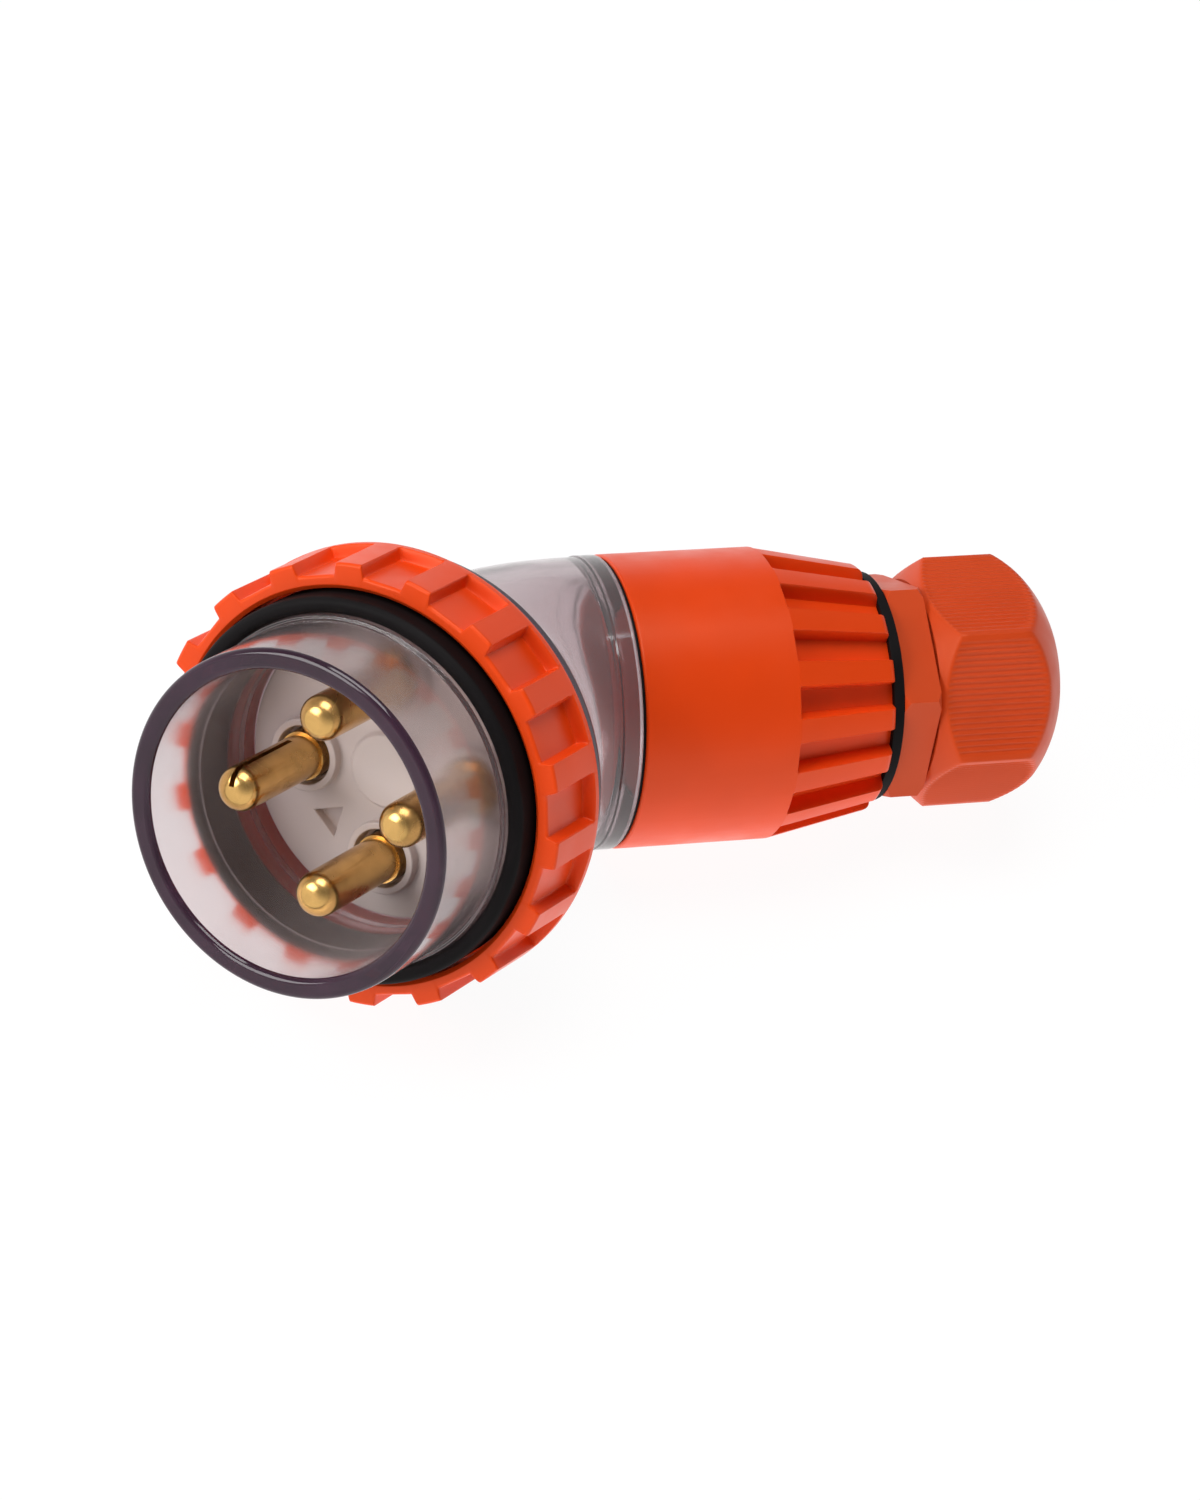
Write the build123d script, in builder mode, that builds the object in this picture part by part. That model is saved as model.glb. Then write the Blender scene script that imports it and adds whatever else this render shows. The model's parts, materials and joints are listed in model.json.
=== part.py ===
from build123d import *
from math import acos, asin, atan2, cos, hypot, radians, sin, sqrt, tan
import os

# Angled three-phase plug. The pins stand on a circle round the origin, and the tail runs along +X.
# The plug lies as it comes to rest: on its barrel and on its locking ring, with the pins raised.
# Sizes are in millimetres and angles in degrees.

# Room between pieces
slip_gap = 0.1  # round pieces that are fitted together
turn_gap = 0.4  # pieces that turn against each other

# Elbow
bend_angle = 45.0
bend_setback = 33.0  # pin face back to the point where the two axes meet
bend_radius = 26.0

# Pins and terminals
pin_count = 4
pin_circle = 25.0
pin_diameter = 6.35
pin_length = 18.5
pin_tip_round = 2.6
shank_step = 0.3  # shank in the carrier beyond the pin
shank_proud = 0.4  # shank's shoulder ahead of the pin face
earth_slot_width = 0.8
earth_slot_length = 15.0
earth_slot_depth = 2.3  # from the upper side, short of the pin's axis
terminal_diameter = 8.8
terminal_length = 11.0
wire_hole_diameter = 4.4
wire_hole_depth = 8.5
terminal_screw_diameter = 3.5
terminal_screw_setback = 6.0  # carrier back to the screw's axis
terminal_screw_proud = 0.5
screw_slot_width = 0.7
screw_slot_depth = 0.8

# Pin carrier
boss_radius = 5.2
boss_height = 1.5
boss_recess_gap = 0.7  # open ring round each pin's shank
boss_recess_depth = 2.5
carrier_rim = 3.6  # boss to the inside of the shroud
carrier_flange_step = 1.6
carrier_flange_thickness = 3.2
hub_radius = 5.6
hub_height = 0.9
hub_draft = 30.0
key_recess_side = 4.6
key_recess_depth = 1.6
key_recess_turn = 225.0  # between the earth pin and the third phase

# Clear shroud
shroud_reach = 25.5  # pin face to the rim
shroud_wall = 2.9
shroud_rim_round = 0.9
shroud_foot_step = 0.6
shroud_flange_front = 3.0
shroud_flange_thickness = 4.0
spigot_step = 0.2  # foot of the shroud down to its spigot
spigot_length = 1.2  # how far the spigot enters the housing

# Face seal
seal_width = 2.4
seal_thickness = 7.2
seal_round = 1.0

# Locking ring
ring_width = 11.7
ring_lip_thickness = 3.1
ring_mouth_chamfer = 0.6
ring_front_band = 1.3
pocket_count = 18
pocket_depth = 1.8
pocket_width = 6.9
pocket_length = 10.3
pocket_turn = 3.5  # first pocket, round from the tail's side of the elbow's plane
lug_round = 0.5

# Clear angled housing
housing_wall = 2.8
wire_room = 1.1  # terminals to the inside of the housing
housing_flange_radius = 29.4
housing_flange_thickness = 4.0
housing_flange_round = 0.8
housing_flare = 2.2  # how much wider the housing is at its flange than in the bend
housing_gasket_thickness = 1.2
housing_gasket_width = 4.0
collar_setback = 0.8  # end of the bend to the collar
collar_width = 3.0
housing_spigot_length = 7.4
housing_spigot_wall = 2.2

# Barrel
barrel_radius = 21.0
barrel_wall = 2.7
barrel_plain_length = 22.7
barrel_front_round = 0.4
barrel_gasket_thickness = 0.7
tail_length = 15.4
tail_end_radius = 18.1
tail_end_round = 1.2
end_wall = 5.4
groove_count = 16
groove_width = 4.5
groove_depth = 2.5
groove_turn = 75.5  # first groove, round from the upper side of the elbow's plane

# Cable gland
gland_thread_radius = 12.4
gland_thread_length = 6.0
gland_washer_radius = 16.6
gland_washer_thickness = 1.6
hex_corner_step = 3.3  # hexagon's corners beyond the neck
hex_thickness = 5.5
hex_turn = 80.0
hex_chamfer = 0.7
neck_radius = 14.0
neck_length = 15.5
cage_wall = 2.6
finger_count = 8
finger_length = 9.0
finger_slot_width = 1.2
nut_corner_step = 4.4  # nut's corners beyond the neck
nut_turn = 50.5  # first corner, round from the upper side of the elbow's plane
nut_front_chamfer = 3.0
nut_front_step = 1.2  # nut's front edge beyond the neck
nut_body_length = 10.4
nut_dome_length = 6.6
nut_end_radius = 11.0
nut_dome_bulge = 0.7
nut_end_wall = 1.6
nut_thread_length = 15.6
cable_radius = 7.5
bush_length = 15.0
cable_clearance = 1.7

# Radii that follow outwards from the pin circle
pin_circle_radius = pin_circle / 2
pin_radius = pin_diameter / 2
shank_radius = pin_radius + shank_step
boss_recess_radius = shank_radius + boss_recess_gap
terminal_radius = terminal_diameter / 2
shroud_bore = pin_circle_radius + boss_radius + carrier_rim
shroud_radius = shroud_bore + shroud_wall
shroud_foot_radius = shroud_radius + shroud_foot_step
spigot_radius = shroud_foot_radius - spigot_step
shroud_flange_radius = shroud_foot_radius + seal_width
carrier_radius = shroud_bore - slip_gap
carrier_flange_radius = carrier_radius + carrier_flange_step
ring_bore = shroud_flange_radius + turn_gap
ring_mouth_radius = ring_bore + ring_mouth_chamfer
pocket_floor_radius = ring_mouth_radius + ring_front_band
lug_radius = pocket_floor_radius + pocket_depth
housing_bore = pin_circle_radius + terminal_radius + wire_room
housing_radius = housing_bore + housing_wall

# Radii that follow outwards from the gland's neck
hex_corner_radius = neck_radius + hex_corner_step
nut_bore = neck_radius + turn_gap
nut_front_radius = neck_radius + nut_front_step
nut_corner_radius = neck_radius + nut_corner_step

# Stations along the head, forward of the pin face
carrier_face = -boss_height
seal_front = shroud_flange_front + seal_thickness
shroud_flange_back = shroud_flange_front - shroud_flange_thickness
ring_lip_front = shroud_flange_back - turn_gap
ring_back = ring_lip_front - ring_lip_thickness
ring_front = ring_back + ring_width
housing_front = ring_back - turn_gap
housing_flange_back = housing_front - housing_flange_thickness
carrier_back = housing_front - spigot_length
carrier_flange_front = carrier_back + carrier_flange_thickness
socket_floor = carrier_back - housing_gasket_thickness
terminal_back = carrier_back - terminal_length
bend_tangent = bend_radius * tan(radians(bend_angle / 2))
bend_start = bend_tangent - bend_setback

# Stations along the tail, from the point where the axes meet
collar_front = bend_tangent + collar_setback
collar_reach = collar_front + collar_width
barrel_front = collar_reach + barrel_gasket_thickness
groove_start = barrel_front + barrel_plain_length
barrel_end = groove_start + tail_length
hex_front = barrel_end + gland_washer_thickness
hex_back = hex_front + hex_thickness
neck_end = hex_back + neck_length
nut_front = hex_back + turn_gap
nut_body_front = nut_front + nut_front_chamfer
nut_body_back = nut_body_front + nut_body_length
nut_end = nut_body_back + nut_dome_length
bush_front = neck_end - bush_length

# How the plug lies: the barrel is level, and the pins rise until the ring's rear edge is as low
ring_edge = bend_setback + ring_back + lug_round
pin_rise = atan2(lug_radius, ring_edge) - asin(barrel_radius / hypot(ring_edge, lug_radius))
plan_bend = acos(cos(radians(bend_angle)) / cos(pin_rise))

# Frames: z runs along the piece. In the head x points to the tail's side of the elbow's plane,
# and in the tail x is square to that plane, upwards
tail_way = Vector(1, 0, 0)
forward = Vector(-cos(plan_bend) * cos(pin_rise), -sin(plan_bend) * cos(pin_rise), sin(pin_rise))
elbow_side = (tail_way + forward * cos(radians(bend_angle))) / sin(radians(bend_angle))
elbow_up = forward.cross(elbow_side)
head = Plane(origin=(0, 0, 0), x_dir=elbow_side, z_dir=forward)
tail = Plane(origin=forward * -bend_setback, x_dir=elbow_up, z_dir=tail_way)


def section(frame):
    """Half section of a turned piece: x along the frame's axis, y the radius."""
    return Plane(frame.origin, x_dir=frame.z_dir, z_dir=frame.y_dir)


def axis_of(frame):
    """Axis of a turned piece."""
    return Axis(frame.origin, frame.z_dir)


def keep(piece, name):
    """Label a finished piece and write it."""
    piece.part.label = name
    export_step(piece.part, f"parts/{name}.step")


os.makedirs("parts", exist_ok=True)

# Clear shroud: tube, foot under the seal, flange that holds the ring, spigot into the housing
with BuildPart() as pin_shroud:
    with BuildSketch(section(head)):
        with BuildLine():
            Polyline(
                (shroud_reach, shroud_bore),
                (shroud_reach, shroud_radius),
                (seal_front, shroud_radius),
                (seal_front, shroud_foot_radius),
                (shroud_flange_front, shroud_foot_radius),
                (shroud_flange_front, shroud_flange_radius),
                (shroud_flange_back, shroud_flange_radius),
                (shroud_flange_back, spigot_radius),
                (carrier_back, spigot_radius),
                (carrier_back, carrier_flange_radius + slip_gap),
                (carrier_flange_front, carrier_flange_radius + slip_gap),
                (carrier_flange_front, shroud_bore),
                close=True,
            )
        make_face()
        fillet(vertices().group_by(Axis.X)[-1], shroud_rim_round)
    revolve(axis=axis_of(head))
keep(pin_shroud, "pin_shroud")

# Pin carrier: stepped disc with a boss round each pin, a smooth hub and a keying recess
with BuildPart() as pin_carrier:
    with BuildSketch(section(head)):
        with BuildLine():
            Polyline(
                (carrier_back, 0),
                (carrier_back, carrier_flange_radius),
                (carrier_flange_front, carrier_flange_radius),
                (carrier_flange_front, carrier_radius),
                (carrier_face, carrier_radius),
                (carrier_face, 0),
                close=True,
            )
        make_face()
    revolve(axis=axis_of(head))
    with BuildSketch(head.offset(carrier_face)):
        with PolarLocations(pin_circle_radius, pin_count):
            Circle(boss_radius)
    extrude(amount=boss_height)
    with BuildSketch(head.offset(carrier_face)):
        Circle(hub_radius)
    extrude(amount=hub_height, taper=hub_draft)
    with BuildSketch(head):
        with PolarLocations(pin_circle_radius, pin_count):
            Circle(boss_recess_radius)
    extrude(amount=-boss_recess_depth, mode=Mode.SUBTRACT)
    with BuildSketch(head):
        with PolarLocations(pin_circle_radius, pin_count):
            Circle(shank_radius + slip_gap)
    extrude(amount=carrier_back, mode=Mode.SUBTRACT)
    with BuildSketch(head.offset(carrier_face)):
        with PolarLocations(pin_circle_radius, 1, start_angle=key_recess_turn):
            RegularPolygon(key_recess_side / sqrt(3), 3, rotation=180)
    extrude(amount=-key_recess_depth, mode=Mode.SUBTRACT)
keep(pin_carrier, "pin_carrier")

# Pins, each turned in one piece with its terminal, and their terminal screws
pin_names = ("phase_1", "phase_2", "earth", "phase_3")
screw_inner_radius = pin_circle_radius + wire_hole_diameter / 2
screw_outer_radius = pin_circle_radius + terminal_radius + terminal_screw_proud
for index, pin_name in enumerate(pin_names):
    pin_angle = radians(360 / pin_count * index)
    outward = head.x_dir * cos(pin_angle) + head.y_dir * sin(pin_angle)
    pin_frame = Plane(head.origin + outward * pin_circle_radius, x_dir=head.x_dir, z_dir=forward)
    screw_frame = Plane(
        head.origin + forward * (carrier_back - terminal_screw_setback),
        x_dir=forward,
        z_dir=outward,
    )

    with BuildPart() as pin:
        with BuildSketch(section(pin_frame)):
            with BuildLine():
                Polyline(
                    (terminal_back, 0),
                    (terminal_back, terminal_radius),
                    (carrier_back, terminal_radius),
                    (carrier_back, shank_radius),
                    (shank_proud, shank_radius),
                    (shank_proud, pin_radius),
                    (pin_length, pin_radius),
                    (pin_length, 0),
                    close=True,
                )
            make_face()
            fillet(vertices().group_by(Axis.X)[-1].sort_by(Axis.Y)[-1], pin_tip_round)
        revolve(axis=axis_of(pin_frame))
        with BuildSketch(pin_frame.offset(terminal_back)):
            Circle(wire_hole_diameter / 2)
        extrude(amount=wire_hole_depth, mode=Mode.SUBTRACT)
        with BuildSketch(screw_frame.offset(pin_circle_radius)):
            Circle(terminal_screw_diameter / 2 + slip_gap)
        extrude(amount=terminal_radius, mode=Mode.SUBTRACT)
        if pin_name == "earth":
            with BuildSketch(pin_frame.offset(pin_length)):
                with Locations((0, pin_radius)):
                    Rectangle(earth_slot_width, earth_slot_depth, align=(Align.CENTER, Align.MAX))
            extrude(amount=-earth_slot_length, mode=Mode.SUBTRACT)
    keep(pin, f"pin_{pin_name}")

    with BuildPart() as terminal_screw:
        with BuildSketch(screw_frame.offset(screw_inner_radius)):
            Circle(terminal_screw_diameter / 2)
        extrude(amount=screw_outer_radius - screw_inner_radius)
        with BuildSketch(screw_frame.offset(screw_outer_radius)):
            Rectangle(terminal_screw_diameter, screw_slot_width)
        extrude(amount=-screw_slot_depth, mode=Mode.SUBTRACT)
    keep(terminal_screw, f"terminal_screw_{pin_name}")

# Face seal round the foot of the shroud
with BuildPart() as face_seal:
    with BuildSketch(section(head)):
        with BuildLine():
            Polyline(
                (shroud_flange_front, shroud_foot_radius + slip_gap),
                (seal_front, shroud_foot_radius + slip_gap),
                (seal_front, shroud_flange_radius),
                (shroud_flange_front, shroud_flange_radius),
                close=True,
            )
        make_face()
        fillet(vertices().group_by(Axis.X)[-1], seal_round)
    revolve(axis=axis_of(head))
keep(face_seal, "face_seal")

# Locking ring: turned ring with a lip that the shroud's flange holds, and pockets between lugs
with BuildPart() as locking_ring:
    with BuildSketch(section(head)):
        with BuildLine():
            Polyline(
                (ring_back, spigot_radius + turn_gap),
                (ring_lip_front, spigot_radius + turn_gap),
                (ring_lip_front, ring_bore),
                (ring_front - ring_mouth_chamfer, ring_bore),
                (ring_front, ring_mouth_radius),
                (ring_front, lug_radius - lug_round),
                (ring_front - lug_round, lug_radius),
                (ring_back + lug_round, lug_radius),
                (ring_back, lug_radius - lug_round),
                close=True,
            )
        make_face()
    revolve(axis=axis_of(head))
    with BuildSketch(head.offset(ring_front)):
        with PolarLocations(pocket_floor_radius, pocket_count, start_angle=pocket_turn):
            Rectangle(2 * pocket_depth, pocket_width, align=(Align.MIN, Align.CENTER))
    extrude(amount=-pocket_length, mode=Mode.SUBTRACT)
keep(locking_ring, "locking_ring")

# Gasket between the shroud's spigot, the carrier and the housing
with BuildPart() as housing_gasket:
    with BuildSketch(head.offset(carrier_back)):
        Circle(spigot_radius)
        Circle(spigot_radius - housing_gasket_width, mode=Mode.SUBTRACT)
    extrude(amount=-housing_gasket_thickness)
keep(housing_gasket, "housing_gasket")

# Clear angled housing: flanged socket, bend, collar and a spigot into the barrel
barrel_bore = barrel_radius - barrel_wall
housing_spigot_radius = barrel_bore - slip_gap
bend_axis = Axis(
    head.origin + forward * bend_start + head.x_dir * bend_radius,
    head.y_dir * -1,
)
with BuildPart() as angled_housing:
    with BuildSketch(section(head)):
        with BuildLine():
            Polyline(
                (bend_start, 0),
                (bend_start, housing_radius),
                (housing_flange_back, housing_radius + housing_flare),
                (housing_flange_back, housing_flange_radius),
                (housing_front, housing_flange_radius),
                (housing_front, 0),
                close=True,
            )
        make_face()
        fillet(vertices().group_by(Axis.Y)[-1], housing_flange_round)
    revolve(axis=axis_of(head))
    with BuildSketch(head.offset(bend_start)):
        Circle(housing_radius)
    revolve(axis=bend_axis, revolution_arc=bend_angle)
    with BuildSketch(section(tail)):
        with BuildLine():
            Polyline(
                (bend_tangent, 0),
                (bend_tangent, housing_radius),
                (collar_front, housing_radius),
                (collar_front, barrel_radius),
                (collar_reach, barrel_radius),
                (collar_reach, housing_spigot_radius),
                (collar_reach + housing_spigot_length, housing_spigot_radius),
                (collar_reach + housing_spigot_length, 0),
                close=True,
            )
        make_face()
    revolve(axis=axis_of(tail))
    with BuildSketch(section(head)):
        with BuildLine():
            Polyline(
                (bend_start, 0),
                (bend_start, housing_bore),
                (socket_floor, housing_bore),
                (socket_floor, spigot_radius + slip_gap),
                (housing_front, spigot_radius + slip_gap),
                (housing_front, 0),
                close=True,
            )
        make_face()
    revolve(axis=axis_of(head), mode=Mode.SUBTRACT)
    with BuildSketch(head.offset(bend_start)):
        Circle(housing_bore)
    revolve(axis=bend_axis, revolution_arc=bend_angle, mode=Mode.SUBTRACT)
    with BuildSketch(section(tail)):
        with BuildLine():
            Polyline(
                (bend_tangent, 0),
                (bend_tangent, housing_bore),
                (collar_front, housing_bore),
                (collar_reach, housing_spigot_radius - housing_spigot_wall),
                (collar_reach + housing_spigot_length, housing_spigot_radius - housing_spigot_wall),
                (collar_reach + housing_spigot_length, 0),
                close=True,
            )
        make_face()
    revolve(axis=axis_of(tail), mode=Mode.SUBTRACT)
keep(angled_housing, "angled_housing")

# Gasket between the housing's collar and the barrel
with BuildPart() as barrel_gasket:
    with BuildSketch(tail.offset(collar_reach)):
        Circle(barrel_radius - barrel_front_round)
        Circle(barrel_bore, mode=Mode.SUBTRACT)
    extrude(amount=barrel_gasket_thickness)
keep(barrel_gasket, "barrel_gasket")

# One groove of the barrel's tail, along Z and out along X, from the barrel's front face
with BuildPart() as groove:
    with BuildSketch(Plane.XZ):
        with BuildLine():
            Polyline(
                (barrel_radius - groove_depth, groove_start),
                (barrel_radius + groove_depth, groove_start),
                (barrel_radius + groove_depth, barrel_end),
                (tail_end_radius - groove_depth, barrel_end),
                close=True,
            )
        make_face()
    extrude(amount=groove_width / 2, both=True)

# Barrel: hollow cylinder with a fluted, tapering tail and a thread for the gland in its end
cavity_end_radius = tail_end_radius - groove_depth - barrel_wall
with BuildPart(tail) as barrel:
    with BuildSketch(section(tail)):
        with BuildLine():
            Polyline(
                (barrel_front, barrel_bore),
                (barrel_front, barrel_radius - barrel_front_round),
                (barrel_front + barrel_front_round, barrel_radius),
                (groove_start, barrel_radius),
                (barrel_end - tail_end_round, tail_end_radius),
                (barrel_end, tail_end_radius - tail_end_round),
                (barrel_end, gland_thread_radius + slip_gap),
                (barrel_end - end_wall, gland_thread_radius + slip_gap),
                (barrel_end - end_wall, cavity_end_radius),
                (groove_start - barrel_wall - groove_depth, barrel_bore),
                close=True,
            )
        make_face()
    revolve(axis=axis_of(tail))
    with PolarLocations(0, groove_count, start_angle=groove_turn):
        add(groove.part, mode=Mode.SUBTRACT)
keep(barrel, "barrel")

# Washer under the gland's hexagon
with BuildPart() as gland_washer:
    with BuildSketch(tail.offset(barrel_end)):
        Circle(gland_washer_radius)
        Circle(gland_thread_radius + slip_gap, mode=Mode.SUBTRACT)
    extrude(amount=gland_washer_thickness)
keep(gland_washer, "gland_washer")

# Gland body: thread into the barrel, hexagon, and a neck that ends in clamping fingers
bush_seat_radius = neck_radius - cage_wall
throat_radius = cable_radius + cable_clearance
with BuildPart() as gland_body:
    with BuildSketch(tail.offset(hex_front)):
        RegularPolygon(hex_corner_radius, 6, rotation=hex_turn)
    extrude(amount=hex_thickness)
    with BuildSketch(section(tail)):
        with BuildLine():
            Polyline(
                (hex_front, 0),
                (hex_front, hex_corner_radius - hex_chamfer),
                (hex_front + hex_chamfer, hex_corner_radius),
                (hex_back - hex_chamfer, hex_corner_radius),
                (hex_back, hex_corner_radius - hex_chamfer),
                (hex_back, 0),
                close=True,
            )
        make_face()
    revolve(axis=axis_of(tail), mode=Mode.INTERSECT)
    with BuildSketch(tail.offset(hex_front)):
        Circle(gland_thread_radius)
    extrude(amount=-gland_washer_thickness - gland_thread_length)
    with BuildSketch(tail.offset(hex_back)):
        Circle(neck_radius)
    extrude(amount=neck_length)
    with BuildSketch(section(tail)):
        with BuildLine():
            Polyline(
                (barrel_end - gland_thread_length, 0),
                (barrel_end - gland_thread_length, throat_radius),
                (bush_front, throat_radius),
                (bush_front, bush_seat_radius),
                (neck_end, bush_seat_radius),
                (neck_end, 0),
                close=True,
            )
        make_face()
    revolve(axis=axis_of(tail), mode=Mode.SUBTRACT)
    with BuildSketch(tail.offset(neck_end)):
        with PolarLocations(0, finger_count):
            Rectangle(neck_radius + turn_gap, finger_slot_width, align=(Align.MIN, Align.CENTER))
    extrude(amount=-finger_length, mode=Mode.SUBTRACT)
keep(gland_body, "gland_body")

# Rubber bush that grips the cable inside the fingers
with BuildPart() as gland_bush:
    with BuildSketch(tail.offset(bush_front)):
        Circle(bush_seat_radius - slip_gap)
        Circle(cable_radius, mode=Mode.SUBTRACT)
    extrude(amount=bush_length)
keep(gland_bush, "gland_bush")

# Dome nut: chamfered hexagon with a domed end, bored for the neck and open for the cable
dome_slope = Vector(nut_dome_length, nut_end_radius - nut_corner_radius)
dome_middle = Vector(nut_body_back, nut_corner_radius) + dome_slope / 2
dome_crest = dome_middle + dome_slope.rotate(Axis.Z, 90).normalized() * nut_dome_bulge
nut_thread_end = nut_front + nut_thread_length
with BuildPart() as gland_nut:
    with BuildSketch(tail.offset(nut_front)):
        RegularPolygon(nut_corner_radius, 6, rotation=nut_turn)
    extrude(amount=nut_end - nut_front)
    with BuildSketch(section(tail)):
        with BuildLine():
            Polyline(
                (nut_end, nut_end_radius),
                (nut_end, 0),
                (nut_front, 0),
                (nut_front, nut_front_radius),
                (nut_body_front, nut_corner_radius),
                (nut_body_back, nut_corner_radius),
            )
            ThreePointArc(
                (nut_body_back, nut_corner_radius),
                (dome_crest.X, dome_crest.Y),
                (nut_end, nut_end_radius),
            )
        make_face()
    revolve(axis=axis_of(tail), mode=Mode.INTERSECT)
    with BuildSketch(section(tail)):
        with BuildLine():
            Polyline(
                (nut_front, 0),
                (nut_front, nut_bore),
                (nut_thread_end, nut_bore),
                (nut_end - nut_end_wall, throat_radius),
                (nut_end, throat_radius),
                (nut_end, 0),
                close=True,
            )
        make_face()
    revolve(axis=axis_of(tail), mode=Mode.SUBTRACT)
keep(gland_nut, "gland_nut")
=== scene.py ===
"""Angled three-phase plug: the shapes and finishes that the eye sees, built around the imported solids."""
import json
from math import acos, atan, atan2, cos, hypot, pi, radians, sin, tan

import bmesh
import bpy
from bpy.props import FloatProperty, FloatVectorProperty, IntProperty, PointerProperty
from bpy.types import NodeSocket, Operator, Panel, PropertyGroup
from mathutils import Matrix, Quaternion, Vector


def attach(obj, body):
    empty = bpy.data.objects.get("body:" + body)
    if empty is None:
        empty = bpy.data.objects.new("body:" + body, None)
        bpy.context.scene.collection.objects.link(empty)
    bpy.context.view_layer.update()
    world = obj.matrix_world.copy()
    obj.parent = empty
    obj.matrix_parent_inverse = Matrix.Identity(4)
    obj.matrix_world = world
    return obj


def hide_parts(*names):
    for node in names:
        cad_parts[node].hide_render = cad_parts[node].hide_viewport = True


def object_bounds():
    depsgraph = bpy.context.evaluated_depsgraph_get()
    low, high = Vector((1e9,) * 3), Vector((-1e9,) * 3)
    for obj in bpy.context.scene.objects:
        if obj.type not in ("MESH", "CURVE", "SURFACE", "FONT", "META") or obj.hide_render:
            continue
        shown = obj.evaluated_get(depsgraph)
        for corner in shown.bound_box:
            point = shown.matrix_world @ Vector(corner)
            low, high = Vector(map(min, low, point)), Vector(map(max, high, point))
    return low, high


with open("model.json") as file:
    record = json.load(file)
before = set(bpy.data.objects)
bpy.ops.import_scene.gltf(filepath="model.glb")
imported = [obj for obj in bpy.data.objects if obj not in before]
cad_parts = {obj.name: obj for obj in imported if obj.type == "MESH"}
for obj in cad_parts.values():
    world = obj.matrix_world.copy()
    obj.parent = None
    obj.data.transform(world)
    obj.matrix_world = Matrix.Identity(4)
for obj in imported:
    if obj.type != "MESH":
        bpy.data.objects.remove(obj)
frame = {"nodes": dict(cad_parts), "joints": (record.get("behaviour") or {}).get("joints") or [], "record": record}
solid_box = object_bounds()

bl_info = {
    "name": "Angled three-phase plug",
    "version": (1, 0, 0),
    "blender": (4, 5, 0),
    "location": "3D View > Sidebar > Plug",
    "description": "Builds the visible pieces of an angled plug around its solids",
    "category": "Object",
}

mm = 0.001
weld = 0.002 * mm  # points closer than this are one point
touch = 0.01 * mm  # a face this close to a limit counts as on it
flat_angle = radians(0.6)  # facets of one face turn by less than this
hard_angle = radians(28)  # edges sharper than this get a round
crease_angle = radians(38)  # edges sharper than this stay crisp in shading
wall_steps = 9  # points up a drafted wall
arc_steps = 6  # points round an outer edge
draft_in = 0.75  # share of a drafted wall that lies inside its channel's width
draft_out = 0.25  # share that lies outside
nut_sides = 6

# Frames of the two straight runs, from the record: z runs along each, and the elbow joins them
mounts = {mount["name"]: mount for mount in frame["record"]["mounts"]}
joints = {joint["name"]: joint for joint in frame["joints"]}
pin_way = Vector(mounts["pins"]["axis"]).normalized()
cable_way = Vector(mounts["cable_entry"]["axis"]).normalized()
bend_angle = acos(-pin_way.dot(cable_way))
elbow_side = (cable_way + pin_way * cos(bend_angle)) / sin(bend_angle)
elbow_up = pin_way.cross(elbow_side)


def place_of(origin, across, along):
    """Matrix of a frame with z along a run and x as given."""
    matrix = Matrix((across, along.cross(across), along)).transposed().to_4x4()
    matrix.translation = origin
    return matrix


head = place_of(Vector(mounts["pins"]["pos_m"]), elbow_side, pin_way)
tail = place_of(Vector(joints["nut_turn"]["pos_m"]), elbow_up, cable_way)


class Reach:
    """Stations and radii that a solid covers along a frame's z, in metres."""

    def __init__(self, node, place):
        inward = place.inverted()
        points = [inward @ vertex.co for vertex in frame["nodes"][node].data.vertices]
        radii = [hypot(point.x, point.y) for point in points]
        self.back = min(point.z for point in points)
        self.front = max(point.z for point in points)
        self.inner = min(radii)
        self.outer = max(radii)


shroud = Reach("pin_shroud", head)
seal = Reach("face_seal", head)
ring = Reach("locking_ring", head)
carrier = Reach("pin_carrier", head)
gasket = Reach("housing_gasket", head)
flange = Reach("angled_housing", head)
joint_gasket = Reach("barrel_gasket", tail)
barrel = Reach("barrel", tail)
nut = Reach("gland_nut", tail)


def linear(code):
    """Linear colour of an sRGB hex value."""
    parts = [int(code[i:i + 2], 16) / 255 for i in (1, 3, 5)]
    return tuple(p / 12.92 if p <= 0.04045 else ((p + 0.055) / 1.055) ** 2.4 for p in parts)


def length(name, description, default):
    """A size in metres."""
    return FloatProperty(name=name, description=description, default=default, unit="LENGTH", precision=5)


def level(name, description, default):
    """A brightness, a power or a share."""
    return FloatProperty(name=name, description=description, default=default, min=0)


def spot(name, description, default):
    """A point or an offset in metres."""
    return FloatVectorProperty(name=name, description=description, default=default, size=3, unit="LENGTH")


def angle(name, description, default):
    """An angle that is given in degrees."""
    return FloatProperty(name=name, description=description, default=radians(default), subtype="ANGLE")


def colour(name, description, code):
    """A colour from its sRGB hex value."""
    return FloatVectorProperty(
        name=name, description=description, default=linear(code), subtype="COLOR", size=3, min=0, max=1
    )


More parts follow.
